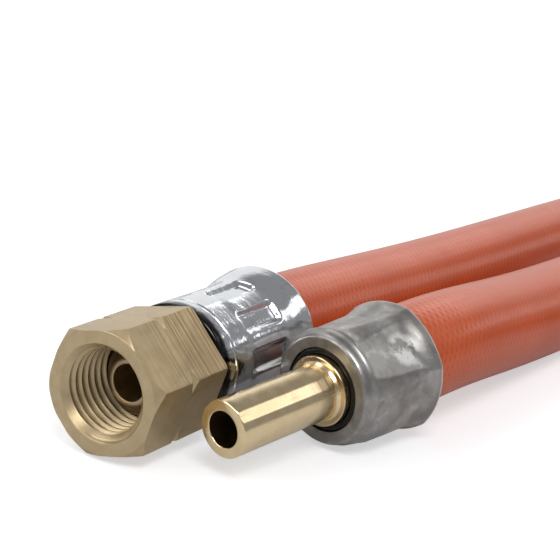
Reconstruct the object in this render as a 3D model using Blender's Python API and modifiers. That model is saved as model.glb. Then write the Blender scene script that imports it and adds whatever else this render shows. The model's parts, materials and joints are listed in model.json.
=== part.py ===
"""Low-pressure gas hose assembly, lying on a flat surface with both of its ends side by side.

One end is a union nut with a left-hand G 1/4 thread on a cone nipple, the other is a plain 8 mm stub.
Each end has a barbed tail inside the hose and a ferrule crimped over it. The hose goes round in one
open turn. Lengths are in metres, +Z is up, and the surface is z = 0. Each end is built on an axis of
its own: local Z runs from the mouth towards the hose, local X points up and local Y towards -Y.
"""

import math

import bmesh
import bpy
import numpy as np
from mathutils import Matrix, Vector

MM = 0.001
GAP = 0.3 * MM  # between pieces that touch
TURNED_STEPS = 40

# Hose
HOSE_RADIUS = 7.6 * MM
HOSE_SIDES = 3  # bevel resolution: 2 * (3 + 1) + 4 sides
HOSE_STEP = 2 * 2 * HOSE_RADIUS  # a ring every two diameters
HOSE_LEAD = 5 * MM  # a closer ring at each end keeps its face square to the ferrule

# Hose wall inside a ferrule, squeezed between barbs and crimp
BARB_RADIUS = 3.6 * MM
BARB_ROOT_RADIUS = 3.1 * MM
BARB_PITCH = 2.2 * MM
LINER_WALL = 1.5 * MM
BRAID_WALL = 0.4 * MM
COVER_WALL = 0.9 * MM

LINER_BORE = BARB_RADIUS + GAP
LINER_RADIUS = LINER_BORE + LINER_WALL
BRAID_BORE = LINER_RADIUS + GAP
BRAID_RADIUS = BRAID_BORE + BRAID_WALL
COVER_BORE = BRAID_RADIUS + GAP
COVER_RADIUS = max(COVER_BORE + COVER_WALL, HOSE_RADIUS - GAP)

# Ferrules
FERRULE_WALL = 1.2 * MM
FERRULE_BORE = COVER_RADIUS + GAP
FERRULE_RADIUS = FERRULE_BORE + FERRULE_WALL
RIM_WALL = 0.9 * MM
RIM_FLARE = 1.2 * MM  # how far the rim stands out past the crimped length
RIM_RADIUS = FERRULE_RADIUS + RIM_FLARE
RIM_EDGE = 0.3 * MM
RIM_BORE = RIM_RADIUS - RIM_WALL
FRONT_WALL = 1.2 * MM
HOSE_INSET = 3.4 * MM  # the free hose's solid starts this far inside the rim
WALL_CLEAR = 0.7 * MM  # between that start and the three layers

# Union nut
NUT_ACROSS_FLATS = 17.0 * MM
NUT_LENGTH = 15.5 * MM
NUT_CHAMFER_RADIUS = 8.63 * MM
NUT_CHAMFER_LENGTH = 1.2 * MM
NUT_TURN = math.radians(13.5)  # how far a corner stands above the level line
THREAD_MINOR_RADIUS = 5.72 * MM
THREAD_MAJOR_RADIUS = 6.58 * MM
THREAD_LENGTH = 9.6 * MM
COUNTERSINK_RADIUS = 6.85 * MM
RELIEF_LENGTH = 1.5 * MM
NOTCH_RADIUS = 8.82 * MM
NOTCH_HALF_WIDTH = 0.6 * MM
NOTCH_PLACE = 8.0 * MM
NUT_CORNER = NUT_ACROSS_FLATS / math.sqrt(3)

# Nipple inside the nut
SHANK_RADIUS = 4.5 * MM
NIPPLE_BORE = 2.6 * MM
NIPPLE_FACE = 6.0 * MM  # distance behind the nut's mouth
NIPPLE_FACE_RADIUS = 3.5 * MM
NIPPLE_HEAD_RADIUS = THREAD_MINOR_RADIUS - 1.5 * GAP
NUT_HOLE_RADIUS = SHANK_RADIUS + GAP
TAIL_BORE = 2.2 * MM

# Ferrule on the nut end
NUT_FERRULE_START = NUT_LENGTH + 0.9 * MM
NUT_FERRULE_LENGTH = 21.5 * MM
NUT_FERRULE_REAR = NUT_FERRULE_START + NUT_FERRULE_LENGTH
NECK_LENGTH = 2.5 * MM
NECK_GROOVE = 0.35 * MM
BELL_LENGTH = 5.6 * MM
DENT_COUNT = 9
DENT_WIDTH = 3.2 * MM
DENT_DEPTH = 0.6 * MM
DENT_START = 7.2 * MM  # from the ferrule's front
DENT_LENGTH = NUT_FERRULE_LENGTH - BELL_LENGTH - DENT_START - 0.3 * MM
DENT_TURN = math.radians(45.0)

# Stub end
STUB_RADIUS = 4.0 * MM
STUB_BORE = 2.55 * MM
STUB_LENGTH = 18.7 * MM
STUB_CHAMFER = 0.2 * MM
STUB_FLAT_DEPTH = 0.08 * MM
STUB_FLAT_TURN = math.radians(48.5)
COLLAR_RADIUS = 5.05 * MM
COLLAR_LENGTH = 1.6 * MM
STUB_FERRULE_START = STUB_LENGTH + 0.9 * MM
STUB_FERRULE_LENGTH = 14.9 * MM
STUB_FERRULE_REAR = STUB_FERRULE_START + STUB_FERRULE_LENGTH
STUB_FERRULE_HOLE = COLLAR_RADIUS + 1.0 * MM
LIP_RADIUS = FERRULE_RADIUS - 0.7 * MM
LIP_LENGTH = 1.4 * MM
STUB_BELL_LENGTH = 3.6 * MM
HEX_CRIMP_FLAT = FERRULE_RADIUS - 0.55 * MM  # from the axis to each flat
HEX_CRIMP_START = 1.7 * MM
HEX_CRIMP_LENGTH = STUB_FERRULE_LENGTH - STUB_BELL_LENGTH - HEX_CRIMP_START - 0.6 * MM
HEX_CRIMP_TURN = math.radians(45.0)

# How each end lies: both point down at the mouth until the nut or the rim meets the surface
NUT_END_PITCH = math.radians(0.955)
STUB_END_PITCH = math.radians(4.98)
STUB_END_YAW = math.radians(-9.709)
SURFACE_CLEAR = 0.05 * MM  # under each ferrule's rim
ENDS_CLEAR = 0.55 * MM  # between the two ferrules' rims
NUT_MOUTH_XY = (-21.05 * MM, 10.39 * MM)
STUB_TIP_X = -14.52 * MM

# Where the hose's middle passes just outside each ferrule: above, beside and beyond the rim's own middle
STUB_SAG = (-0.92 * MM, -1.403 * MM, 13.572 * MM)
NUT_SAG = (-1.674 * MM, -0.11 * MM, 29.431 * MM)

# The hose's route between those two places, chosen by hand: from the stub end round one open turn
ROUTE_MM = [
    (53.0, -11.8, 9.0),
    (76.9, -12.1, 7.75),
    (104.7, -15.0, 7.65),
    (128.3, -25.0, 7.65),
    (146.0, -40.9, 7.65),
    (160.7, -59.8, 7.65),
    (175.2, -78.9, 7.65),
    (191.3, -96.6, 7.65),
    (211.8, -108.4, 7.65),
    (235.1, -112.2, 7.65),
    (258.3, -107.6, 7.65),
    (278.4, -95.1, 7.65),
    (292.8, -76.3, 7.65),
    (299.8, -53.7, 7.65),
    (298.3, -30.1, 7.65),
    (288.6, -8.5, 7.65),
    (271.9, 8.3, 7.65),
    (250.4, 18.1, 7.65),
    (226.8, 19.9, 7.65),
    (203.3, 15.4, 7.65),
    (179.9, 10.1, 7.65),
    (154.2, 6.6, 7.65),
    (126.3, 7.4, 7.65),
    (98.3, 8.8, 7.66),
    (70.3, 10.0, 7.93),
]


def collection(name, parent=None):
    made = bpy.data.collections.new(name)
    (parent or bpy.context.scene.collection).children.link(made)
    return made


def material(name, colour, roughness, metallic):
    made = bpy.data.materials.new(name)
    made.use_nodes = True
    shader = made.node_tree.nodes["Principled BSDF"]
    shader.inputs["Base Color"].default_value = (*colour, 1)
    shader.inputs["Roughness"].default_value = roughness
    shader.inputs["Metallic"].default_value = metallic
    return made


def end_axis(name, location, yaw, pitch):
    """An empty on an end's axis: local Z towards the hose, local X up, local Y towards -Y."""
    along = Vector((math.cos(yaw) * math.cos(pitch), math.sin(yaw) * math.cos(pitch), math.sin(pitch)))
    side = Vector((math.sin(yaw), -math.cos(yaw), 0))
    up = side.cross(along)
    empty = bpy.data.objects.new(name, None)
    empty.location = location
    empty.rotation_euler = Matrix((up, side, along)).transposed().to_euler()
    PARTS.objects.link(empty)
    return empty


def mouth_height(rear, pitch):
    """How high the mouth's centre lies when the ferrule's rim rests on the surface."""
    rim = rear - RIM_EDGE
    return RIM_RADIUS * math.cos(pitch) - rim * math.sin(pitch) + SURFACE_CLEAR


def from_bmesh(name, bm, group):
    mesh = bpy.data.meshes.new(name)
    bm.to_mesh(mesh)
    bm.free()
    obj = bpy.data.objects.new(name, mesh)
    group.objects.link(obj)
    return obj


def turned(name, outside, inside, finish, axis):
    """A ring turned about local Z. Both outlines are (place, radius) from the mouth towards the hose."""
    profile = list(reversed(outside)) + list(inside)
    bm = bmesh.new()
    points = [bm.verts.new((radius, 0, place)) for place, radius in profile]
    for first, second in zip(points, points[1:] + points[:1]):
        bm.edges.new((first, second))
    obj = from_bmesh(name, bm, PARTS)
    obj.parent = axis
    obj.data.materials.append(finish)
    screw = obj.modifiers.new("Turn", "SCREW")
    screw.axis = "Z"
    screw.angle = 2 * math.pi
    screw.steps = screw.render_steps = TURNED_STEPS
    screw.use_merge_vertices = True
    screw.merge_threshold = 0.00001
    screw.use_smooth_shade = True
    return obj


def cut(obj, cutter, operation="DIFFERENCE"):
    boolean = obj.modifiers.new("Cut by " + cutter.name, "BOOLEAN")
    boolean.operation = operation
    boolean.object = cutter
    boolean.solver = "EXACT"


def cutter_of(name, bm, axis):
    obj = from_bmesh(name, bm, CUTTERS)
    obj.parent = axis
    obj.hide_render = True
    obj.display_type = "WIRE"
    return obj


def boxes_round(name, axis, count, turn, inner_radius, width, start, length):
    """Box cutters standing round the axis, each with its inner face at inner_radius."""
    bm = bmesh.new()
    height = 2 * RIM_RADIUS
    for k in range(count):
        spin = Matrix.Rotation(turn + 2 * math.pi * k / count, 4, "Z")
        place = Matrix.Translation((inner_radius + height / 2, 0, start + length / 2))
        bmesh.ops.create_cube(bm, size=1, matrix=spin @ place @ Matrix.Diagonal((height, width, length, 1)))
    return cutter_of(name, bm, axis)


def barbed_tail(start, stop, shoulder_radius):
    """The outside of a hose tail: a smooth root, then as many sawtooth barbs as fit, and a lead-in nose."""
    outline = [(start, shoulder_radius), (start, BARB_ROOT_RADIUS)]
    barbs = int((stop - start) / BARB_PITCH - 1.5)
    for place in (start + BARB_PITCH * (1 + k) for k in range(barbs)):
        outline += [(place, BARB_RADIUS), (place + 0.95 * BARB_PITCH, BARB_ROOT_RADIUS)]
    return outline + [(start + BARB_PITCH * (barbs + 1.5), BARB_ROOT_RADIUS - 0.4 * MM)]


def hose_wall(end, axis, start, stop):
    """The three layers of the hose inside a ferrule, cut square at both ends."""
    layers = (
        ("liner", LINER_BORE, LINER_RADIUS, LINER_RUBBER),
        ("braid", BRAID_BORE, BRAID_RADIUS, BRAID_TEXTILE),
        ("cover", COVER_BORE, COVER_RADIUS, COVER_RUBBER),
    )
    for layer, bore, radius, finish in layers:
        name = end + "_hose_" + layer
        turned(name, [(start, radius), (stop, radius)], [(start, bore), (stop, bore)], finish, axis)


def union_nut(axis):
    hole_start = THREAD_LENGTH + RELIEF_LENGTH
    wide = NUT_CORNER + 0.5 * MM
    slope = (NUT_CORNER - NUT_CHAMFER_RADIUS) / NUT_CHAMFER_LENGTH
    notch_half = NOTCH_HALF_WIDTH * (wide - NOTCH_RADIUS) / (NUT_CORNER - NOTCH_RADIUS)
    outside = [
        (0, NUT_CHAMFER_RADIUS),
        ((wide - NUT_CHAMFER_RADIUS) / slope, wide),
        (NOTCH_PLACE - notch_half, wide),
        (NOTCH_PLACE, NOTCH_RADIUS),
        (NOTCH_PLACE + notch_half, wide),
        (NUT_LENGTH - 0.8 * MM, wide),
        (NUT_LENGTH, NUT_CORNER - 0.3 * MM),
    ]
    inside = [
        (0, COUNTERSINK_RADIUS),
        (COUNTERSINK_RADIUS - THREAD_MINOR_RADIUS, THREAD_MINOR_RADIUS),
        (THREAD_LENGTH, THREAD_MINOR_RADIUS),
        (THREAD_LENGTH, THREAD_MAJOR_RADIUS),
        (hole_start, THREAD_MAJOR_RADIUS),
        (hole_start, NIPPLE_HEAD_RADIUS + GAP),
        (hole_start + NIPPLE_HEAD_RADIUS - SHANK_RADIUS, NUT_HOLE_RADIUS),
        (NUT_LENGTH, NUT_HOLE_RADIUS),
    ]
    nut = turned("union_nut", outside, inside, NUT_BRASS, axis)
    bm = bmesh.new()
    turn = Matrix.Rotation(-NUT_TURN, 4, "Z")  # the cone's first corner is on +Y
    place = Matrix.Translation((0, 0, NUT_LENGTH / 2))
    bmesh.ops.create_cone(
        bm,
        cap_ends=True,
        segments=6,
        radius1=NUT_CORNER,
        radius2=NUT_CORNER,
        depth=NUT_LENGTH + 2 * MM,
        matrix=place @ turn,
    )
    cut(nut, cutter_of("hexagon", bm, axis), "INTERSECT")
    return hole_start


def nut_end(axis):
    hole_start = union_nut(axis)
    cone_length = (NIPPLE_HEAD_RADIUS - NIPPLE_FACE_RADIUS) * 1.2
    tail_start = NUT_FERRULE_START + FRONT_WALL
    head = [
        (NIPPLE_FACE, NIPPLE_FACE_RADIUS),
        (NIPPLE_FACE + cone_length, NIPPLE_HEAD_RADIUS),
        (hole_start - GAP, NIPPLE_HEAD_RADIUS),
        (hole_start - GAP + NIPPLE_HEAD_RADIUS - SHANK_RADIUS, SHANK_RADIUS),
    ]
    rear = NUT_FERRULE_REAR
    wall_stop = rear - HOSE_INSET - WALL_CLEAR
    tail = barbed_tail(tail_start, wall_stop, SHANK_RADIUS)
    bore = [
        (NIPPLE_FACE, NIPPLE_BORE),
        (tail_start - 1 * MM, NIPPLE_BORE),
        (tail_start, TAIL_BORE),
        (tail[-1][0], TAIL_BORE),
    ]
    turned("nut_end_nipple", head + tail, bore, NUT_BRASS, axis)

    front = NUT_FERRULE_START
    crimp_end = rear - BELL_LENGTH
    outside = [
        (front, FERRULE_RADIUS - 0.5 * MM),
        (front + 0.5 * MM, FERRULE_RADIUS),
        (front + NECK_LENGTH - NECK_GROOVE, FERRULE_RADIUS),
        (front + NECK_LENGTH, FERRULE_RADIUS - NECK_GROOVE),
        (front + NECK_LENGTH + NECK_GROOVE, FERRULE_RADIUS),
        (crimp_end, FERRULE_RADIUS),
        (crimp_end + 0.3 * BELL_LENGTH, FERRULE_RADIUS + 0.6 * RIM_FLARE),
        (crimp_end + 0.6 * BELL_LENGTH, RIM_RADIUS),
        (rear - RIM_EDGE, RIM_RADIUS),
        (rear, RIM_RADIUS - RIM_EDGE),
    ]
    inside = [
        (front, NUT_HOLE_RADIUS),
        (front + FRONT_WALL, NUT_HOLE_RADIUS),
        (front + FRONT_WALL, FERRULE_BORE),
        (crimp_end, FERRULE_BORE),
        (crimp_end + 0.4 * BELL_LENGTH, FERRULE_BORE + GAP),
        (rear, RIM_BORE),
    ]
    ferrule = turned("nut_end_ferrule", outside, inside, PLATED_STEEL, axis)
    dents = boxes_round(
        "crimp_dents",
        axis,
        DENT_COUNT,
        DENT_TURN,
        FERRULE_RADIUS - DENT_DEPTH,
        DENT_WIDTH,
        front + DENT_START,
        DENT_LENGTH,
    )
    cut(ferrule, dents)
    hose_wall("nut_end", axis, front + FRONT_WALL + GAP, wall_stop)


def stub_end(axis):
    front = STUB_FERRULE_START
    rear = STUB_FERRULE_REAR
    wall_stop = rear - HOSE_INSET - WALL_CLEAR
    tail_start = STUB_LENGTH + COLLAR_LENGTH
    outside = [
        (0, STUB_RADIUS - STUB_CHAMFER),
        (STUB_CHAMFER, STUB_RADIUS),
        (STUB_LENGTH - 0.5 * MM, STUB_RADIUS),
        (STUB_LENGTH, STUB_RADIUS + 0.35 * MM),
        (STUB_LENGTH, COLLAR_RADIUS),
    ] + barbed_tail(tail_start, wall_stop, COLLAR_RADIUS)
    bore = [
        (0, STUB_BORE),
        (tail_start - 1 * MM, STUB_BORE),
        (tail_start, TAIL_BORE),
        (outside[-1][0], TAIL_BORE),
    ]
    nipple = turned("stub_end_nipple", outside, bore, STUB_BRASS, axis)
    flat = boxes_round(
        "stub_flat",
        axis,
        1,
        STUB_FLAT_TURN,
        STUB_RADIUS - STUB_FLAT_DEPTH,
        STUB_RADIUS,
        -1 * MM,
        STUB_LENGTH + 0.6 * MM,
    )
    cut(nipple, flat)

    crimp_end = rear - STUB_BELL_LENGTH
    shell = [
        (front, LIP_RADIUS - 0.8 * MM),
        (front + 0.25 * MM, LIP_RADIUS - 0.3 * MM),
        (front + 0.8 * MM, LIP_RADIUS),
        (front + LIP_LENGTH, FERRULE_RADIUS),
        (crimp_end, FERRULE_RADIUS),
        (crimp_end + 0.6 * STUB_BELL_LENGTH, RIM_RADIUS - 0.2 * MM),
        (rear - RIM_EDGE, RIM_RADIUS),
        (rear, RIM_RADIUS - RIM_EDGE),
    ]
    inside = [
        (front, STUB_FERRULE_HOLE + 0.2 * MM),
        (front + 0.2 * MM, STUB_FERRULE_HOLE),
        (front + FRONT_WALL, STUB_FERRULE_HOLE),
        (front + FRONT_WALL, FERRULE_BORE),
        (crimp_end, FERRULE_BORE),
        (crimp_end + 0.2 * MM, FERRULE_BORE + GAP),
        (rear, RIM_BORE),
    ]
    ferrule = turned("stub_end_ferrule", shell, inside, BARE_STEEL, axis)
    flats = boxes_round(
        "crimp_flats",
        axis,
        6,
        HEX_CRIMP_TURN,
        HEX_CRIMP_FLAT,
        2 * FERRULE_RADIUS,
        front + HEX_CRIMP_START,
        HEX_CRIMP_LENGTH,
    )
    cut(ferrule, flats)
    hose_wall("stub_end", axis, front + FRONT_WALL + GAP, wall_stop)


def smooth_route(places, start_along, end_along):
    """Points on the cubic spline through the route's points, with its two end directions set."""
    run = np.concatenate([[0], np.cumsum(np.linalg.norm(np.diff(places, axis=0), axis=1))])
    spans = np.diff(run)
    count = len(run)
    matrix = np.zeros((count, count))
    right = np.zeros((count, 3))
    matrix[0, 0] = matrix[-1, -1] = 1
    right[0], right[-1] = start_along, end_along
    for k in range(1, count - 1):
        before, after = spans[k - 1], spans[k]
        matrix[k, k - 1 : k + 2] = after, 2 * (before + after), before
        slopes = (places[k] - places[k - 1]) / before, (places[k + 1] - places[k]) / after
        right[k] = 3 * (after * slopes[0] + before * slopes[1])
    tangents = np.linalg.solve(matrix, right)

    made = []
    between = np.linspace(HOSE_LEAD, run[-1] - HOSE_LEAD, 1 + round(run[-1] / HOSE_STEP))
    for place in (0, *between, run[-1]):
        k = min(int(np.searchsorted(run, place, side="right")) - 1, count - 2)
        part = (place - run[k]) / spans[k]
        h00, h10 = (1 + 2 * part) * (1 - part) ** 2, part * (1 - part) ** 2
        h01, h11 = part**2 * (3 - 2 * part), part**2 * (part - 1)
        made.append(
            h00 * places[k] + h01 * places[k + 1] + spans[k] * (h10 * tangents[k] + h11 * tangents[k + 1])
        )
    return made


def hose(stub_axis, nut_axis):
    leaves_stub = stub_axis.matrix_world.to_3x3() @ Vector((0, 0, 1))
    enters_nut = nut_axis.matrix_world.to_3x3() @ Vector((0, 0, -1))
    start = stub_axis.matrix_world @ Vector((0, 0, STUB_FERRULE_REAR - HOSE_INSET))
    sag = stub_axis.matrix_world @ (Vector(STUB_SAG) + Vector((0, 0, STUB_FERRULE_REAR)))
    last_sag = nut_axis.matrix_world @ (Vector(NUT_SAG) + Vector((0, 0, NUT_FERRULE_REAR)))
    end = nut_axis.matrix_world @ Vector((0, 0, NUT_FERRULE_REAR - HOSE_INSET))
    route = np.array([start, sag, *(Vector(point) * MM for point in ROUTE_MM), last_sag, end])
    points = smooth_route(route, leaves_stub, enters_nut)
    curve = bpy.data.curves.new("hose", "CURVE")
    curve.dimensions = "3D"
    curve.bevel_depth = HOSE_RADIUS
    curve.bevel_resolution = HOSE_SIDES
    curve.use_fill_caps = True
    spline = curve.splines.new("POLY")
    spline.points.add(len(points) - 1)
    for point, place in zip(spline.points, points):
        point.co = (*place, 1)
    obj = bpy.data.objects.new("hose", curve)
    curve.materials.append(COVER_RUBBER)
    PARTS.objects.link(obj)


for old in list(bpy.data.objects):
    bpy.data.objects.remove(old)
PARTS = collection("gas_hose")
CUTTERS = collection("gas_hose_cutters")

NUT_BRASS = material("satin brass", (0.55, 0.41, 0.24), 0.35, 1.0)
STUB_BRASS = material("polished brass", (0.75, 0.56, 0.30), 0.18, 1.0)
PLATED_STEEL = material("bright plated steel", (0.72, 0.74, 0.76), 0.08, 1.0)
BARE_STEEL = material("dull steel", (0.36, 0.34, 0.32), 0.42, 1.0)
COVER_RUBBER = material("orange rubber", (0.55, 0.11, 0.05), 0.5, 0.0)
LINER_RUBBER = material("black rubber", (0.012, 0.012, 0.012), 0.6, 0.0)
BRAID_TEXTILE = material("textile braid", (0.35, 0.33, 0.28), 0.8, 0.0)

beside = NUT_FERRULE_REAR + NUT_MOUTH_XY[0] - STUB_TIP_X  # how far up the stub end the nut end's rim comes
stub_y = NUT_MOUTH_XY[1] - 2 * RIM_RADIUS - ENDS_CLEAR - beside * math.tan(STUB_END_YAW)
nut_place = (*NUT_MOUTH_XY, mouth_height(NUT_FERRULE_REAR, NUT_END_PITCH))
stub_place = (STUB_TIP_X, stub_y, mouth_height(STUB_FERRULE_REAR, STUB_END_PITCH))

NUT_AXIS = end_axis("nut_end_axis", nut_place, 0, NUT_END_PITCH)
STUB_AXIS = end_axis("stub_end_axis", stub_place, STUB_END_YAW, STUB_END_PITCH)
bpy.context.view_layer.update()
nut_end(NUT_AXIS)
stub_end(STUB_AXIS)
hose(STUB_AXIS, NUT_AXIS)
bpy.context.view_layer.update()
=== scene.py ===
"""The gas hose assembly as it is put together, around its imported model.

Every length is in metres. Each end is modelled on an axis of its own, where Z runs from the mouth
towards the hose, X points up and Y points towards -Y, and is then set on that end's place.
"""

import json
import math

import bmesh
import bpy
import numpy as np
from mathutils import Euler, Matrix, Vector


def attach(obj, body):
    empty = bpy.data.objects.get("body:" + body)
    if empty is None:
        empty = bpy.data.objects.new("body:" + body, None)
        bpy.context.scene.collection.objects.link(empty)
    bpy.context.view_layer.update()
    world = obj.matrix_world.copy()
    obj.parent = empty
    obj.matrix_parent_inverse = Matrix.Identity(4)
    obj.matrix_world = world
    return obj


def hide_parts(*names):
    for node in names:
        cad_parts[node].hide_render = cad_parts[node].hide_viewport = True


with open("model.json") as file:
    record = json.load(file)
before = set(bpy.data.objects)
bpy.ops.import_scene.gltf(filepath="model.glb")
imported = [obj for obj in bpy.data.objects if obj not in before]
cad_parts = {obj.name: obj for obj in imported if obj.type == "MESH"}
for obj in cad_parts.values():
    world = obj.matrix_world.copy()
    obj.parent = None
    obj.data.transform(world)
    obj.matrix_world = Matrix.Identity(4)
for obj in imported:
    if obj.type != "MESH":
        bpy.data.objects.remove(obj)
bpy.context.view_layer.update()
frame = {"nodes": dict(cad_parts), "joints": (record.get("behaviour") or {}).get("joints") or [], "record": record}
MM = 0.001

# Camera, low and to the front left of the two ends, so that it looks into both mouths.
CAMERA_PLACE = Vector((-190.67, -114.78, 85.56)) * MM
CAMERA_TILT = math.radians(74.407)
CAMERA_ROLL = math.radians(-5.781)
CAMERA_HEADING = math.radians(-57.885)
camera = bpy.data.objects.new("camera", bpy.data.cameras.new("camera"))
camera.data.sensor_width = 36.0
camera.data.lens = 109.29
camera.data.clip_start = 0.01
turn = Euler((CAMERA_TILT, CAMERA_ROLL, CAMERA_HEADING))
camera.matrix_world = Matrix.LocRotScale(CAMERA_PLACE, turn, None)
bpy.context.scene.collection.objects.link(camera)
bpy.context.scene.camera = camera

# The two ends' places. The nut's is its swivel joint, and the stub's is the tip of the stub,
# found from the mount halfway through its wall. Both are straight fittings on the hose's own line.
STUB_WALL_MIDDLE = 3.2 * MM


def end_place(mouth, along):
    """The matrix of an end whose mouth is centred there and which runs along that direction."""
    along = Vector(along).normalized()
    side = Vector((along.y, -along.x, 0)).normalized()
    turn = Matrix((side.cross(along), side, along)).transposed()
    return Matrix.Translation(mouth) @ turn.to_4x4()


swivel = frame["joints"][0]
NUT_END = end_place(swivel["pos_m"], swivel["axis"])
tip = next(mount for mount in frame["record"]["mounts"] if mount["name"] == "stub_tip")
STUB_END = end_place((0, 0, 0), [-x for x in tip["axis"]])
STUB_END.translation = Vector(tip["pos_m"]) - STUB_END.to_3x3() @ Vector((STUB_WALL_MIDDLE, 0, 0))

# Hose: 15 mm orange rubber over a textile braid and a black liner, extruded and cured in a cloth
# wrap, which leaves faint slanting ribs round it. It lies in one open turn between the two ferrules.
# The route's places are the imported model's own: arcs of 74, 67 and 95 mm radius with straight runs
# between them, smoothed and read off about 24 mm apart.
HOSE_RADIUS = 7.6 * MM
HOSE_STEP = 0.5 * MM
HOSE_SIDES = 72
STUB_RIM = 34.5 * MM
NUT_RIM = 37.9 * MM
HOSE_INSET = 3.4 * MM
HOSE_ROUTE = [
    (0.0330, -0.0115, 0.01030),
    (0.0530, -0.0118, 0.00900),
    (0.0769, -0.0121, 0.00775),
    (0.1047, -0.0150, 0.00765),
    (0.1283, -0.0250, 0.00765),
    (0.1460, -0.0409, 0.00765),
    (0.1607, -0.0598, 0.00765),
    (0.1752, -0.0789, 0.00765),
    (0.1913, -0.0966, 0.00765),
    (0.2118, -0.1084, 0.00765),
    (0.2351, -0.1122, 0.00765),
    (0.2583, -0.1076, 0.00765),
    (0.2784, -0.0951, 0.00765),
    (0.2928, -0.0763, 0.00765),
    (0.2998, -0.0537, 0.00765),
    (0.2983, -0.0301, 0.00765),
    (0.2886, -0.0085, 0.00765),
    (0.2719, 0.0083, 0.00765),
    (0.2504, 0.0181, 0.00765),
    (0.2268, 0.0199, 0.00765),
    (0.2033, 0.0154, 0.00765),
    (0.1799, 0.0101, 0.00765),
    (0.1542, 0.0066, 0.00765),
    (0.1263, 0.0074, 0.00765),
    (0.0983, 0.0088, 0.00766),
    (0.0703, 0.0100, 0.00793),
    (0.0463, 0.0105, 0.00887),
]
RIB_PITCH = 1.3 * MM
RIB_STARTS = 21  # how many ribs a line round the hose crosses


class Wire:
    """A socket of a material, so that shader maths is written as ordinary expressions."""

    def __init__(self, tree, socket=None):
        self.tree = tree
        self.socket = socket

    def node(self, kind, sockets, output=0, **settings):
        made = self.tree.nodes.new(kind)
        for name, value in settings.items():
            setattr(made, name, value)
        for key, value in sockets.items():
            if isinstance(value, Wire):
                self.tree.links.new(value.socket, made.inputs[key])
            else:
                made.inputs[key].default_value = value
        return Wire(self.tree, made.outputs[output])

    def maths(self, operation, *values):
        return self.node("ShaderNodeMath", dict(enumerate(values)), operation=operation)

    def __add__(self, other):
        return self.maths("ADD", self, other)

    def __sub__(self, other):
        return self.maths("SUBTRACT", self, other)

    def __rsub__(self, other):
        return self.maths("SUBTRACT", other, self)

    def __mul__(self, other):
        return self.maths("MULTIPLY", self, other)

    def __pow__(self, other):
        return self.maths("POWER", self, other)

    __radd__ = __add__
    __rmul__ = __mul__

    def between(self, low, high):
        """0 below low, 1 above high, and smooth in between."""
        sockets = {"Value": self, "From Min": low, "From Max": high}
        return self.node("ShaderNodeMapRange", sockets, interpolation_type="SMOOTHSTEP")

    def mixed(self, first, second):
        """The first colour where this is 0, and the second where it is 1."""
        first, second = (c if isinstance(c, Wire) else (*c, 1) for c in (first, second))
        return self.node("ShaderNodeMix", {0: self, 6: first, 7: second}, output=2, data_type="RGBA")

    def noise(self, scale, detail=2.0, roughness=0.5, dimensions="3D"):
        """Noise over this vector, or over this number where dimensions is 1D."""
        key = "W" if dimensions == "1D" else "Vector"
        sockets = {key: self, "Scale": scale, "Detail": detail, "Roughness": roughness}
        return self.node("ShaderNodeTexNoise", sockets, noise_dimensions=dimensions)

    def split(self):
        return [self.node("ShaderNodeSeparateXYZ", {"Vector": self}, output=k) for k in range(3)]

    def joined(self, y, z):
        return self.node("ShaderNodeCombineXYZ", {"X": self, "Y": y, "Z": z})


def new_material(name, **constants):
    """A material and the wire of its tree, with the shader's constant sockets set."""
    made = bpy.data.materials.new(name)
    made.use_nodes = True
    shader = made.node_tree.nodes["Principled BSDF"]
    for key, value in constants.items():
        shader.inputs[key.replace("_", " ").title().replace("Ior", "IOR")].default_value = value
    return made, Wire(made.node_tree)


def connect(made, bump=None, bump_height=0.0, **links):
    """Joins wires to the shader's sockets. bump is a height from 0 to 1, and bump_height is in metres."""
    shader = made.node_tree.nodes["Principled BSDF"]
    for key, wire in links.items():
        made.node_tree.links.new(wire.socket, shader.inputs[key.replace("_", " ").title()])
    if bump is not None:
        sockets = {"Height": bump, "Distance": bump_height}
        normal = bump.node("ShaderNodeBump", sockets)
        made.node_tree.links.new(normal.socket, shader.inputs["Normal"])


def hose_line():
    """Points close together on the hose's centreline: a cubic spline that leaves each ferrule straight."""
    start = STUB_END @ Vector((0, 0, STUB_RIM - HOSE_INSET))
    end = NUT_END @ Vector((0, 0, NUT_RIM - HOSE_INSET))
    places = np.array([start, *HOSE_ROUTE, end])
    run = np.concatenate([[0], np.cumsum(np.linalg.norm(np.diff(places, axis=0), axis=1))])
    spans = np.diff(run)
    matrix = np.eye(len(run))
    right = np.zeros((len(run), 3))
    right[0], right[-1] = STUB_END.col[2][:3], -NUT_END.col[2].xyz
    for k in range(1, len(run) - 1):
        before, after = spans[k - 1], spans[k]
        matrix[k, k - 1 : k + 2] = after, 2 * (before + after), before
        slopes = (places[k] - places[k - 1]) / before, (places[k + 1] - places[k]) / after
        right[k] = 3 * (after * slopes[0] + before * slopes[1])
    tangents = np.linalg.solve(matrix, right)
    line = []
    for place in np.linspace(0, run[-1], round(run[-1] / HOSE_STEP)):
        k = min(int(np.searchsorted(run, place, side="right")) - 1, len(spans) - 1)
        t = (place - run[k]) / spans[k]
        line.append(
            (1 + 2 * t) * (1 - t) ** 2 * places[k]
            + t**2 * (3 - 2 * t) * places[k + 1]
            + spans[k] * (t * (1 - t) ** 2 * tangents[k] + t**2 * (t - 1) * tangents[k + 1])
        )
    return [Vector(point) for point in line]


def to_object(name, bm, material, body, *nodes):
    """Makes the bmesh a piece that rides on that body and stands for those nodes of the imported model."""
    mesh = bpy.data.meshes.new(name)
    bm.to_mesh(mesh)
    bm.free()
    obj = bpy.data.objects.new(name, mesh)
    bpy.context.scene.collection.objects.link(obj)
    mesh.materials.append(material)
    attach(obj, body)
    if nodes:
        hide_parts(*nodes)
    return obj


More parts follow.
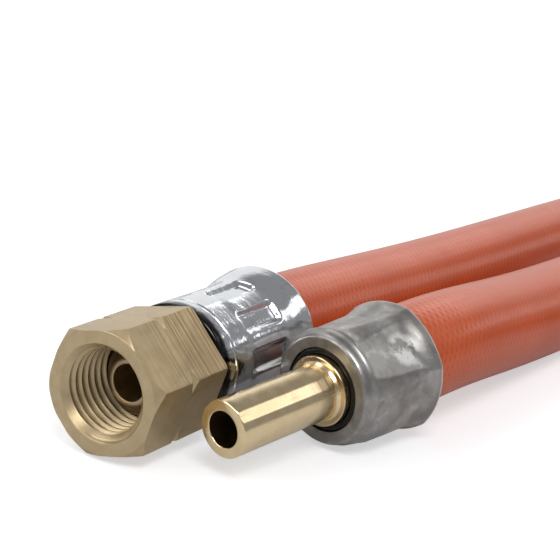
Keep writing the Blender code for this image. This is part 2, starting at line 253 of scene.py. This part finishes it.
def rubber_cover():
    """Satin orange rubber. The ribs follow the hose by its UV: U along it in millimetres, V once round it."""
    made, wire = new_material(
        "orange rubber cover", metallic=0.0, ior=1.48, specular_tint=(1.0, 0.62, 0.42, 1)
    )
    along, around, _ = wire.node("ShaderNodeUVMap", {}, uv_map="hose").split()
    slant = along * (MM / RIB_PITCH) - around * RIB_STARTS
    counter = along * (MM / RIB_PITCH) + around * RIB_STARTS
    grain = wire.node("ShaderNodeTexCoord", {}, output=3).noise(900.0, 3.0, 0.6)
    wander = wire.node("ShaderNodeTexCoord", {}, output=3).noise(60.0, 2.0, 0.5)
    phase = (slant + wander * 0.5) * (2 * math.pi)
    crossing = counter * (2 * math.pi)
    height = phase.maths("SINE", phase) * 0.28 + crossing.maths("SINE", crossing) * 0.20 + 0.5
    worn = wander.between(0.35, 0.7)
    colour = worn.mixed((0.50, 0.074, 0.016), (0.56, 0.094, 0.024))
    # Painted shade: where the rib height is low, in the troughs, the cover is painted a darker orange.
    colour = height.between(0.1, 0.5).mixed((0.50, 0.064, 0.015), colour)
    connect(
        made,
        bump=height + grain * 0.2,
        bump_height=0.024 * MM,
        base_color=colour,
        roughness=0.24 + grain * 0.12,
    )
    return made


def make_hose():
    line = hose_line()
    count = len(line)
    bm = bmesh.new()
    uv = bm.loops.layers.uv.new("hose")
    bmesh.ops.create_grid(bm, x_segments=count - 1, y_segments=HOSE_SIDES, size=0.5)
    run = [0.0]
    for first, second in zip(line, line[1:]):
        run.append(run[-1] + (second - first).length)
    for face in bm.faces:
        for loop in face.loops:
            ring = round((loop.vert.co.x + 0.5) * (count - 1))
            loop[uv].uv = (run[ring] / MM, loop.vert.co.y + 0.5)
    for vert in bm.verts:
        ring = round((vert.co.x + 0.5) * (count - 1))
        along = (line[min(ring + 1, count - 1)] - line[max(ring - 1, 0)]).normalized()
        side = along.cross(Vector((0, 0, 1))).normalized()
        angle = 2 * math.pi * (vert.co.y + 0.5)
        outward = side * math.cos(angle) + side.cross(along) * math.sin(angle)
        vert.co = line[ring] + outward * HOSE_RADIUS
    bmesh.ops.remove_doubles(bm, verts=bm.verts, dist=0.01 * MM)
    bmesh.ops.holes_fill(bm, edges=[e for e in bm.edges if e.is_boundary])
    bmesh.ops.recalc_face_normals(bm, faces=bm.faces)
    for face in bm.faces:
        face.smooth = len(face.verts) == 4
    obj = to_object("rubber_hose", bm, rubber_cover(), "hose_assembly", "hose")


make_hose()

# Union nut: satin brass, turned and drilled from 17 mm hexagon bar and tapped with a left-hand thread,
# which the V notches turned across its corners show. It spins freely on the nipple's head.
NUT_LENGTH = 15.5 * MM
NUT_ACROSS_FLATS = 17.0 * MM
NUT_CORNER = NUT_ACROSS_FLATS / math.sqrt(3)
NUT_TURN = math.radians(13.5)  # how far a corner stands above the level line
FLAT_TURN = math.pi / 2 - NUT_TURN - math.pi / 6  # the flat that faces up and to the front
FACE_RADIUS = 8.63 * MM
FACE_CHAMFER = 1.2 * MM
NOTCH_PLACE = 7.9 * MM
NOTCH_RADIUS = 8.95 * MM
NOTCH_HALF_WIDTH = 0.75 * MM
THREAD_PITCH = 1.337 * MM
THREAD_CREST = 5.76 * MM
THREAD_ROOT = 6.58 * MM
THREAD_END = 9.6 * MM
COUNTERSINK = 6.85 * MM
SOCKET_FLOOR = 11.1 * MM
NUT_HOLE = 4.8 * MM
HEAD_CLEAR = 5.57 * MM
TURNED_STEPS = 192


def turned(outline, finest=None):
    """A closed ring turned from an outline of (place, radius, softening of that corner).

    finest is the longest stretch of outline that is left whole, where the ring is pressed afterwards.
    """
    bm = bmesh.new()
    corners = [bm.verts.new((radius, 0, place)) for place, radius, _ in outline]
    for first, second in zip(corners, corners[1:] + corners[:1]):
        bm.edges.new((first, second))
    softened = [(vert, soft) for vert, (_, _, soft) in zip(corners, outline) if soft]
    for vert, soft in softened:
        bmesh.ops.bevel(
            bm, geom=[vert], offset=soft, affect="VERTICES", segments=4, profile=0.5, material=-1
        )
    for edge in list(bm.edges) if finest else []:
        cuts = int(edge.calc_length() / finest)
        if cuts:
            bmesh.ops.subdivide_edges(bm, edges=[edge], cuts=cuts)
    bmesh.ops.spin(
        bm,
        geom=bm.verts[:] + bm.edges[:],
        cent=(0, 0, 0),
        axis=(0, 0, 1),
        angle=2 * math.pi,
        steps=TURNED_STEPS,
        use_merge=True,
    )
    bmesh.ops.recalc_face_normals(bm, faces=bm.faces)
    return bm


def combined(first, second, operation):
    """The Boolean of two closed shapes, as one."""
    made = []
    for bm in (first, second):
        mesh = bpy.data.meshes.new("half")
        bm.to_mesh(mesh)
        bm.free()
        made.append(bpy.data.objects.new("half", mesh))
        bpy.context.scene.collection.objects.link(made[-1])
    boolean = made[0].modifiers.new("Combine", "BOOLEAN")
    boolean.operation = operation
    boolean.object = made[1]
    boolean.solver = "EXACT"
    bpy.context.view_layer.update()
    result = bmesh.new()
    result.from_mesh(made[0].evaluated_get(bpy.context.evaluated_depsgraph_get()).data)
    for obj in made:
        bpy.data.objects.remove(obj)
    return result


def crisp(bm, degrees=26):
    """Smooth shading, kept sharp where two faces meet at more than that angle."""
    for face in bm.faces:
        face.smooth = True
    for edge in bm.edges:
        edge.smooth = edge.calc_face_angle(0) < math.radians(degrees)


def end_coordinates(wire, place):
    """Millimetres on an end's own axis: up, side and place along it, then the radius."""
    sockets = {
        "Vector": wire.node("ShaderNodeTexCoord", {}, output=3),
        "Location": place.translation,
        "Rotation": place.to_euler(),
        "Scale": (MM, MM, MM),
    }
    point = wire.node("ShaderNodeMapping", sockets, vector_type="TEXTURE")
    up, side, along = point.split()
    return point, up, side, along, (up * up + side * side) ** 0.5


def nut_brass():
    """Satin brass: rings on the turned face, cross lines left by the saw-cut bar stock on its flats."""
    made, wire = new_material("satin brass", metallic=1.0)
    point, up, side, along, radius = end_coordinates(wire, NUT_END)
    outward = up * math.cos(FLAT_TURN) + side * math.sin(FLAT_TURN)
    scored = outward.between(8.40, 8.47)
    flats = radius.between(8.2, 8.5) * along.between(0.05, 0.2)
    streaks = (up * 0.05).joined(side * 0.05, along * 2.2).noise(1.0, 3.0, 0.7)
    lines = along.noise(2.4, 3.0, 0.75, "1D")
    fine = (up * 0.10).joined(side * 0.10, along * 9.0).noise(1.0, 3.0, 0.7)
    rings = radius.noise(7.0, 3.0, 0.7, "1D")
    cloud = point.noise(0.45, 3.0, 0.6)
    grit = point.noise(9.0, 2.0, 0.6)
    cut = (lines * 0.62 + streaks * 0.38).between(0.44, 0.54)
    deep = cut * scored * (0.3 + along.between(3.0, 11.0) * 0.7)
    tone = cloud.between(0.3, 0.7).mixed((0.50, 0.385, 0.225), (0.57, 0.45, 0.275))
    tone = (deep * 0.75).mixed(tone, (0.30, 0.20, 0.09))
    height = deep * -0.8 + flats * fine * 0.25 + (1 - flats) * rings * 0.25 + grit * 0.12 + 0.8
    connect(
        made,
        bump=height,
        bump_height=0.035 * MM,
        base_color=tone,
        roughness=0.30 + grit * 0.12 + cloud * 0.08,
    )
    return made


def make_union_nut(brass):
    wide = NUT_CORNER + 0.5 * MM
    chamfer_end = FACE_CHAMFER * (wide - FACE_RADIUS) / (NUT_CORNER - FACE_RADIUS)
    notch_half = NOTCH_HALF_WIDTH * (wide - NOTCH_RADIUS) / (NUT_CORNER - NOTCH_RADIUS)
    body = turned(
        [
            (0, COUNTERSINK, 0.05 * MM),
            (0, FACE_RADIUS, 0.08 * MM),
            (chamfer_end, wide, 0),
            (NOTCH_PLACE - notch_half, wide, 0),
            (NOTCH_PLACE, NOTCH_RADIUS, 0.1 * MM),
            (NOTCH_PLACE + notch_half, wide, 0),
            (NUT_LENGTH - 0.5 * MM, wide, 0),
            (NUT_LENGTH, NUT_CORNER - 0.35 * MM, 0),
            (NUT_LENGTH, NUT_HOLE, 0.1 * MM),
            (SOCKET_FLOOR + HEAD_CLEAR - NUT_HOLE, NUT_HOLE, 0),
            (SOCKET_FLOOR, HEAD_CLEAR, 0),
            (SOCKET_FLOOR, THREAD_ROOT, 0.1 * MM),
            (COUNTERSINK - THREAD_ROOT, THREAD_ROOT, 0),
        ]
    )
    bar = bmesh.new()
    bmesh.ops.create_cone(
        bar,
        cap_ends=True,
        segments=6,
        radius1=NUT_CORNER,
        radius2=NUT_CORNER,
        depth=2 * NUT_LENGTH,
        matrix=Matrix.Rotation(-NUT_TURN, 4, "Z"),
    )
    long_edges = [e for e in bar.edges if abs(e.verts[0].co.z - e.verts[1].co.z) > NUT_LENGTH]
    bmesh.ops.bevel(
        bar, geom=long_edges, offset=0.12 * MM, affect="EDGES", segments=2, profile=0.5, material=-1
    )
    body = combined(body, bar, "INTERSECT")

    thread = bmesh.new()
    half = THREAD_PITCH / 2
    start = 0.3 * MM
    section = [
        (THREAD_ROOT + 0.2 * MM, -0.96 * half),
        (THREAD_ROOT - 0.05 * MM, -0.88 * half),
        (THREAD_CREST + 0.12 * MM, -0.26 * half),
        (THREAD_CREST, -0.10 * half),
        (THREAD_CREST, 0.10 * half),
        (THREAD_CREST + 0.12 * MM, 0.26 * half),
        (THREAD_ROOT - 0.05 * MM, 0.88 * half),
        (THREAD_ROOT + 0.2 * MM, 0.96 * half),
    ]
    ring = [thread.verts.new((radius, 0, start + place)) for radius, place in section]
    face = thread.faces.new(ring)
    turns = (THREAD_END - start) / THREAD_PITCH
    steps = round(turns * 72)
    bmesh.ops.spin(
        thread,
        geom=[face, *face.edges, *face.verts],
        cent=(0, 0, 0),
        axis=(0, 0, 1),
        dvec=(0, 0, (THREAD_END - start) / steps),
        angle=-2 * math.pi * turns,
        steps=steps,
        use_duplicate=False,
    )
    bmesh.ops.recalc_face_normals(thread, faces=thread.faces)
    body = combined(body, thread, "UNION")

    mouth = bmesh.new()
    deep = COUNTERSINK - THREAD_CREST + 0.1 * MM
    bmesh.ops.create_cone(
        mouth,
        cap_ends=True,
        segments=TURNED_STEPS,
        radius1=COUNTERSINK + 1 * MM,
        radius2=COUNTERSINK - deep,
        depth=deep + 1 * MM,
        matrix=Matrix.Translation((0, 0, (deep - 1 * MM) / 2)),
    )
    body = combined(body, mouth, "DIFFERENCE")
    bmesh.ops.remove_doubles(body, verts=body.verts, dist=0.002 * MM)
    crisp(body)
    body.transform(NUT_END)
    to_object("brass_union_nut", body, brass, "union_nut", "union_nut")


NUT_BRASS = nut_brass()
make_union_nut(NUT_BRASS)

# Nut end nipple: brass, turned in one piece. Its coned head seats on the fitting, its shank carries
# the nut, and its barbed tail is pushed into the hose.
NIPPLE_FACE = 6.0 * MM
NIPPLE_BORE = 2.6 * MM
TAIL_BORE = 2.2 * MM
SHANK = 4.5 * MM
BARB = 3.6 * MM
BARB_ROOT = 3.1 * MM
BARB_PITCH = 2.2 * MM
NUT_TAIL = 17.1 * MM
NUT_TAIL_BARBS = 5


def barbs(start, shoulder, count):
    outline = [(start, shoulder, 0), (start, BARB_ROOT, 0)]
    for place in (start + BARB_PITCH * (1 + k) for k in range(count)):
        outline += [(place, BARB, 0), (place + 0.95 * BARB_PITCH, BARB_ROOT, 0)]
    return outline + [(start + BARB_PITCH * (count + 1.5), BARB_ROOT - 0.4 * MM, 0.2 * MM)]


def make_nut_nipple(brass):
    tail = barbs(NUT_TAIL, SHANK, NUT_TAIL_BARBS)
    head = HEAD_CLEAR - 0.3 * MM
    bm = turned(
        [
            (NIPPLE_FACE, NIPPLE_BORE, 0.15 * MM),
            (NIPPLE_FACE, NIPPLE_BORE + 0.75 * MM, 0.3 * MM),
            (NIPPLE_FACE + 2.3 * MM, head, 0.3 * MM),
            (SOCKET_FLOOR - 0.3 * MM, head, 0.1 * MM),
            (SOCKET_FLOOR - 0.3 * MM + head - SHANK, SHANK, 0),
            *tail,
            (tail[-1][0], TAIL_BORE, 0),
            (NUT_TAIL, TAIL_BORE, 0),
            (NUT_TAIL - 1 * MM, NIPPLE_BORE, 0),
        ]
    )
    crisp(bm)
    bm.transform(NUT_END)
    obj = to_object("brass_nut_nipple", bm, brass, "hose_assembly", "nut_end_nipple")


make_nut_nipple(NUT_BRASS)

# Nut end ferrule: a drawn steel cap, zinc plated to a mirror. Nine jaws have pressed it onto the hose,
# each leaving a long dent with a flat floor, and its rear is belled so that it doesn't cut the hose.
PLATED_FRONT = 15.9 * MM
PLATED_RADIUS = 8.8 * MM
PLATED_RIM = 9.95 * MM
RIM_WALL = 0.7 * MM
GROOVE = 18.9 * MM
DENTS = 9
DENT_TURN = math.radians(45)
DENT_MIDDLE = 27.9 * MM
DENT_LENGTH = 8.6 * MM
DENT_WIDTH = 3.3 * MM
DENT_DEPTH = 0.62 * MM
FERRULE_BORE = 7.6 * MM
FINEST = 0.25 * MM


def step_up(value, low, high):
    """0 below low, 1 above high, and smooth in between."""
    part = min(max((value - low) / (high - low), 0), 1)
    return part * part * (3 - 2 * part)


def plated_steel():
    made, wire = new_material("bright plated steel", metallic=1.0)
    point, up, side, along, _ = end_coordinates(wire, NUT_END)
    cloud = point.noise(0.35, 3.0, 0.6)
    peel = point.noise(0.9, 2.0, 0.5)
    grain = point.noise(14.0, 2.0, 0.6)
    hair = (up * 1.5).joined(side * 1.5, along * 0.12).noise(2.0, 4.0, 0.75)
    dull = cloud.between(0.52, 0.75)
    tone = dull.mixed((0.72, 0.74, 0.76), (0.54, 0.57, 0.61))
    tone = (hair.between(0.62, 0.72) * 0.5).mixed(tone, (0.34, 0.36, 0.38))
    # Painted reflection of shade: the front of the ferrule next to the nut, up to 17.0 to 17.9 mm along, is
    # painted near-black for the dark gap it mirrors.
    tone = along.between(17.0, 17.9).mixed((0.03, 0.03, 0.03), tone)
    connect(
        made,
        bump=peel * 0.8 + grain * 0.05 + hair * 0.08,
        bump_height=0.045 * MM,
        base_color=tone,
        roughness=0.07 + dull * 0.08 + grain * 0.05,
    )
    return made


def make_plated_ferrule():
    front, bore_start = PLATED_FRONT, PLATED_FRONT + 1.2 * MM
    bm = turned(
        [
            (front, NUT_HOLE, 0.1 * MM),
            (front, PLATED_RADIUS, 0.45 * MM),
            (GROOVE - 0.14 * MM, PLATED_RADIUS, 0.08 * MM),
            (GROOVE, PLATED_RADIUS - 0.16 * MM, 0),
            (GROOVE + 0.14 * MM, PLATED_RADIUS, 0.08 * MM),
            (27.7 * MM, PLATED_RADIUS - 0.15 * MM, 2.0 * MM),
            (32.0 * MM, PLATED_RADIUS - 0.05 * MM, 0.9 * MM),
            (34.9 * MM, 9.58 * MM, 1.0 * MM),
            (NUT_RIM, PLATED_RIM, 0.2 * MM),
            (NUT_RIM, PLATED_RIM - RIM_WALL, 0.2 * MM),
            (34.6 * MM, 8.2 * MM, 0),
            (33.0 * MM, FERRULE_BORE, 0),
            (bore_start, FERRULE_BORE, 0),
            (bore_start, NUT_HOLE, 0),
        ],
        finest=FINEST,
    )
    for vert in bm.verts:
        place, radius = vert.co.z, vert.co.xy.length
        if radius < FERRULE_BORE + 0.7 * MM:
            continue
        angle = math.atan2(vert.co.y, vert.co.x) - DENT_TURN
        pitch = 2 * math.pi / DENTS
        off = (angle / pitch - round(angle / pitch)) * pitch * PLATED_RADIUS
        ends = abs(place - DENT_MIDDLE) - DENT_LENGTH / 2
        sides = abs(off) - DENT_WIDTH / 2
        corner = math.hypot(max(ends + 0.6 * MM, 0), max(sides + 0.6 * MM, 0)) - 0.6 * MM
        inside = max(ends, sides) if corner < -0.59 * MM else corner
        depth = DENT_DEPTH * (1 - step_up(inside, -0.42 * MM, 0.22 * MM))
        between = 0.10 * MM * step_up(abs(off), 0, DENT_WIDTH) * (1 - step_up(ends, -1 * MM, 1 * MM))
        vert.co.xy *= (radius - depth + between) / radius
    crisp(bm, 40)
    bm.transform(NUT_END)
    obj = to_object("plated_ferrule", bm, plated_steel(), "hose_assembly", "nut_end_ferrule")


make_plated_ferrule()

# Stub end nipple: polished brass, turned in one piece. The plain 8 mm stub goes into a compression
# fitting. A narrow flat has been milled along it up to the collar, and it has fine turning rings.
STUB_RADIUS = 4.0 * MM
STUB_BORE = 2.55 * MM
STUB_LENGTH = 18.7 * MM
STUB_FLAT = 3.92 * MM
STUB_FLAT_TURN = math.radians(48.5)
COLLAR = 5.05 * MM
STUB_TAIL = 20.3 * MM
STUB_TAIL_BARBS = 2


def stub_brass():
    made, wire = new_material("polished brass", metallic=1.0)
    point, up, side, along, radius = end_coordinates(wire, STUB_END)
    flat = (up * math.cos(STUB_FLAT_TURN) + side * math.sin(STUB_FLAT_TURN)).between(3.86, 3.93)
    root = along.between(13.5, 16.5)
    rings = along.noise(9.0, 4.0, 0.7, "1D")
    facing = radius.noise(6.0, 3.0, 0.6, "1D")
    milled = (up * 0.2).joined(side * 0.2, along * 3.2).noise(1.0, 3.0, 0.6)
    rub = (up * 2.0).joined(side * 2.0, along * 0.25).noise(1.0, 4.0, 0.7)
    cloud = point.noise(0.5, 3.0, 0.6)
    tone = cloud.between(0.3, 0.7).mixed((0.82, 0.64, 0.38), (0.88, 0.72, 0.46))
    tone = (rub.between(0.6, 0.75) * 0.35).mixed(tone, (0.60, 0.42, 0.20))
    tone = (milled.between(0.45, 0.62) * flat * root * 0.7).mixed(tone, (0.45, 0.30, 0.13))
    connect(
        made,
        bump=rings * 0.35 + facing * 0.2 + milled * flat * root * 0.6,
        bump_height=0.02 * MM,
        base_color=tone,
        roughness=0.13 + cloud * 0.08 + rub.between(0.5, 0.8) * 0.12 + root * 0.05,
    )
    return made


def make_stub_nipple():
    tail = barbs(STUB_TAIL, COLLAR, STUB_TAIL_BARBS)
    bm = turned(
        [
            (0, STUB_BORE, 0.12 * MM),
            (0, STUB_RADIUS, 0.22 * MM),
            (STUB_LENGTH - 0.5 * MM, STUB_RADIUS, 0.2 * MM),
            (STUB_LENGTH, STUB_RADIUS + 0.35 * MM, 0),
            (STUB_LENGTH, COLLAR, 0.15 * MM),
            *tail,
            (tail[-1][0], TAIL_BORE, 0),
            (STUB_TAIL, TAIL_BORE, 0),
            (STUB_TAIL - 1 * MM, STUB_BORE, 0),
        ],
        finest=1 * MM,
    )
    for vert in bm.verts:
        radius = vert.co.xy.length
        if vert.co.z > STUB_LENGTH - 0.7 * MM or radius < STUB_RADIUS - 0.4 * MM:
            continue
        off = math.atan2(vert.co.y, vert.co.x) - STUB_FLAT_TURN
        if abs(off) < math.pi / 2:
            vert.co.xy *= min(1, STUB_FLAT / (radius * math.cos(off)))
    crisp(bm, 20)
    bm.transform(STUB_END)
    obj = to_object("brass_stub_nipple", bm, stub_brass(), "hose_assembly", "stub_end_nipple")


make_stub_nipple()

# Stub end ferrule: a turned steel cap, unplated and dull, with a rounded lip round its front hole. Six
# jaws have pressed it to a hexagon that runs out into a nearly round bell, whose thin rim is painted bright as a
# highlight.
STEEL_FRONT = 19.6 * MM
STEEL_HOLE = 6.05 * MM
STEEL_LIP = 8.15 * MM
STEEL_RIM = 9.98 * MM
CRIMP_FLAT = 8.12 * MM
CRIMP_TURN = math.radians(45)
CRIMP_SOFT = 0.12 * MM
CRIMP_OFF = Vector((0.31, -0.16)) * MM  # the jaws closed a little to one side
CRIMP_FADES = 30.2 * MM
BELL_ROUNDS = 33.6 * MM
BELL_KEEPS = 0.22  # how much of the hexagon is left at the rim
# The centre of a painted highlight on the ferrule's upper front side.
PAINTED_GLINT_SPOT = (5.3, 6.3, 29.6)  # in millimetres: up, side and along


def bare_steel():
    made, wire = new_material("dull steel", metallic=1.0)
    point, up, side, along, _ = end_coordinates(wire, STUB_END)
    cloud = point.noise(0.28, 4.0, 0.6)
    patch = point.noise(0.6, 3.0, 0.6)
    grain = point.noise(11.0, 3.0, 0.7)
    lathe = (up * 0.15).joined(side * 0.15, along * 4.0).noise(1.0, 4.0, 0.7)
    pits = point.noise(2.2, 1.0, 0.4).between(0.70, 0.76)
    rubbed = patch.between(0.52, 0.66) * cloud.between(0.42, 0.62)
    edge = along.between(34.15, 34.4)
    tone = cloud.between(0.3, 0.7).mixed((0.27, 0.255, 0.24), (0.42, 0.405, 0.385))
    tone = (rubbed * 0.7).mixed(tone, (0.52, 0.51, 0.49))
    off = [axis - middle for axis, middle in zip((up, side, along), PAINTED_GLINT_SPOT)]
    away = off[0] * off[0] + off[1] * off[1] + off[2] * off[2]
    # Painted highlight: a near-white patch round that spot, also made a little rougher.
    painted_glint = (1 - (away + grain * 3.0).between(4.0, 11.0)) * patch.between(0.35, 0.55)
    tone = painted_glint.mixed(tone, (0.86, 0.84, 0.82))
    # Painted highlight: the thin rim at the back of the bell is painted near-white.
    tone = (edge * 0.8).mixed(tone, (0.80, 0.79, 0.77))
    tone = (pits * 0.6).mixed(tone, (0.18, 0.17, 0.16))
    connect(
        made,
        bump=lathe * 0.3 + grain * 0.3 + patch * 0.4 - pits * 0.5,
        bump_height=0.03 * MM,
        base_color=tone,
        roughness=0.32 + grain * 0.12 - rubbed * 0.08 + painted_glint * 0.1,
    )
    return made


def make_steel_ferrule():
    front, bore_start = STEEL_FRONT, STEEL_FRONT + 1.2 * MM
    bm = turned(
        [
            (bore_start, STEEL_HOLE, 0),
            (front, STEEL_HOLE, 0.15 * MM),
            (front, STEEL_LIP - 0.35 * MM, 0.3 * MM),
            (front + 0.6 * MM, STEEL_LIP, 0.3 * MM),
            (front + 1.2 * MM, STEEL_LIP + 0.05 * MM, 0.3 * MM),
            (front + 1.9 * MM, 8.6 * MM, 0.3 * MM),
            (28.0 * MM, 8.9 * MM, 1.5 * MM),
            (31.2 * MM, 8.95 * MM, 1.0 * MM),
            (33.0 * MM, 9.4 * MM, 0.8 * MM),
            (STUB_RIM, STEEL_RIM, 0.15 * MM),
            (STUB_RIM, STEEL_RIM - RIM_WALL, 0.15 * MM),
            (31.2 * MM, 8.2 * MM, 0),
            (30.4 * MM, FERRULE_BORE, 0),
            (bore_start, FERRULE_BORE, 0),
        ],
        finest=FINEST,
    )
    for vert in bm.verts:
        place, radius = vert.co.z, vert.co.xy.length
        if radius < FERRULE_BORE + 0.4 * MM or place < front + 1 * MM:
            continue
        angle = math.atan2(vert.co.y, vert.co.x) - CRIMP_TURN
        off = angle - round(angle / (math.pi / 3)) * (math.pi / 3)
        pressed = CRIMP_FLAT / math.cos(off)
        blend = max(CRIMP_SOFT - abs(radius - pressed), 0) ** 2 / (4 * CRIMP_SOFT)
        target = min(radius, pressed) - blend
        share = step_up(place, front + 1.7 * MM, front + 2.4 * MM)
        share *= 1 - (1 - BELL_KEEPS) * step_up(place, CRIMP_FADES, BELL_ROUNDS)
        vert.co.xy *= (radius + (target - radius) * share) / radius
        vert.co.xy -= CRIMP_OFF * step_up(place, front + 1.4 * MM, front + 4 * MM)
    crisp(bm, 40)
    bm.transform(STUB_END)
    obj = to_object("steel_ferrule", bm, bare_steel(), "hose_assembly", "stub_end_ferrule")


make_steel_ferrule()

# Hose wall inside the ferrules: black liner, textile braid and orange cover, squeezed between barbs
# and crimp. At the stub end the liner has been squeezed out into a shiny ring round the collar.
LINER_BORE = 3.9 * MM
LINER_RADIUS = 5.4 * MM
LINER_END = 30.4 * MM
SQUEEZED_FRONT = 19.75 * MM
SQUEEZED_CLEAR = 0.08 * MM
BRAID_STRANDS = 16


def liner_rubber():
    made, wire = new_material("black rubber liner", metallic=0.0, specular_ior_level=0.3)
    grain = wire.node("ShaderNodeTexCoord", {}, output=3).noise(2500.0, 3.0, 0.6)
    tone = grain.between(0.3, 0.7).mixed((0.002, 0.002, 0.002), (0.006, 0.006, 0.005))
    connect(made, bump=grain, bump_height=0.05 * MM, base_color=tone, roughness=0.25 + grain * 0.2)
    return made


def braid_textile():
    made, wire = new_material("textile braid", metallic=0.0)
    _, up, side, along, _ = end_coordinates(wire, NUT_END)
    turn = side.maths("ARCTAN2", side, up) * (BRAID_STRANDS / math.pi)
    right, left = (along * 1.2 + turn) * math.pi, (along * 1.2 - turn) * math.pi
    weave = right.maths("SINE", right) * left.maths("SINE", left) * 0.5 + 0.5
    tone = weave.between(0.2, 0.8).mixed((0.16, 0.15, 0.13), (0.50, 0.48, 0.42))
    connect(made, bump=weave, bump_height=0.1 * MM, base_color=tone, roughness=0.75 + weave * 0.1)
    return made


def make_liner_ring(rubber):
    bm = turned(
        [
            (LINER_END, LINER_BORE, 0),
            (21.1 * MM, LINER_BORE, 0),
            (20.6 * MM, COLLAR + SQUEEZED_CLEAR, 0),
            (SQUEEZED_FRONT, COLLAR + SQUEEZED_CLEAR, 0.2 * MM),
            (SQUEEZED_FRONT, STEEL_HOLE - SQUEEZED_CLEAR, 0.3 * MM),
            (20.9 * MM, STEEL_HOLE - SQUEEZED_CLEAR, 0),
            (21.1 * MM, LINER_RADIUS, 0),
            (LINER_END, LINER_RADIUS, 0),
        ]
    )
    crisp(bm, 40)
    bm.transform(STUB_END)
    obj = to_object("liner_ring", bm, rubber, "hose_assembly", "stub_end_hose_liner")


LAYERS = {
    "liner": liner_rubber(),
    "braid": braid_textile(),
    "cover": bpy.data.materials["orange rubber cover"],
}
make_liner_ring(LAYERS["liner"])
for layer, material in LAYERS.items():
    for end in ("nut_end", "stub_end"):
        node = frame["nodes"][end + "_hose_" + layer]
        node.data.materials.clear()
        node.data.materials.append(material)

# Floor and light: a white floor in a light tent. A soft box behind the ends and a strip at their
# front side make the hose's two highlights, and a box at the side shines on the stub's flat. The key
# light stands over the camera, and the tent is darker between them for the bright metal to pick up.
floor_material, tree = new_material("white floor", roughness=0.55, specular_ior_level=0.2)
seen = tree.node("ShaderNodeLightPath", {}, output=0)
connect(
    floor_material,
    base_color=seen.mixed((0.58, 0.58, 0.59), (0.62, 0.62, 0.63)),
    emission_color=seen.mixed((0.08, 0.08, 0.08), (0.54, 0.54, 0.545)),
)
floor_material.node_tree.nodes["Principled BSDF"].inputs["Emission Strength"].default_value = 1.0
floor_bm = bmesh.new()
bmesh.ops.create_grid(floor_bm, x_segments=1, y_segments=1, size=3.0)
floor_mesh = bpy.data.meshes.new("floor")
floor_bm.to_mesh(floor_mesh)
floor_bm.free()
floor = bpy.data.objects.new("floor", floor_mesh)
floor_mesh.materials.append(floor_material)
bpy.context.scene.collection.objects.link(floor)


def soft_box(name, place, width, height, glow):
    """An area light that faces the ends. glow is how bright it looks in a mirror."""
    light = bpy.data.lights.new(name, "AREA")
    light.shape = "RECTANGLE"
    light.size, light.size_y = width, height
    light.energy = glow * math.pi * width * height
    obj = bpy.data.objects.new(name, light)
    obj.location = place
    obj.rotation_euler = (-Vector(place)).to_track_quat("-Z", "Y").to_euler()
    bpy.context.scene.collection.objects.link(obj)


soft_box("rear soft box", (1.00, 0.06, 0.56), 0.60, 0.16, 2.2)
soft_box("front strip", (0.95, -0.42, 0.26), 0.24, 0.12, 2.6)
soft_box("side soft box", (0.68, -0.66, 0.68), 0.60, 0.28, 1.25)
soft_box("key light", (-0.45, -0.40, 0.75), 0.40, 0.40, 9.5)
soft_box("left soft box", (-0.70, 0.45, 0.45), 0.60, 0.40, 3.0)
soft_box("top soft box", (0.05, 0.45, 0.80), 0.50, 0.30, 2.6)

world = bpy.data.worlds.new("studio")
bpy.context.scene.world = world
world.use_nodes = True
sky = Wire(world.node_tree)
east, north, height = sky.node("ShaderNodeTexCoord", {}, output=0).split()
seen = sky.node("ShaderNodeLightPath", {}, output=0)
backdrop = (east * 0.75 + north * 0.66).between(0.45, 0.8) * (1 - height.between(0.48, 0.70))
surround = backdrop.mixed((0.30, 0.30, 0.31), (1.0, 1.0, 1.0))
colour = seen.mixed(surround, (1.0, 1.0, 1.0))
world.node_tree.links.new(colour.socket, world.node_tree.nodes["Background"].inputs["Color"])
bpy.context.scene.view_settings.view_transform = "Standard"
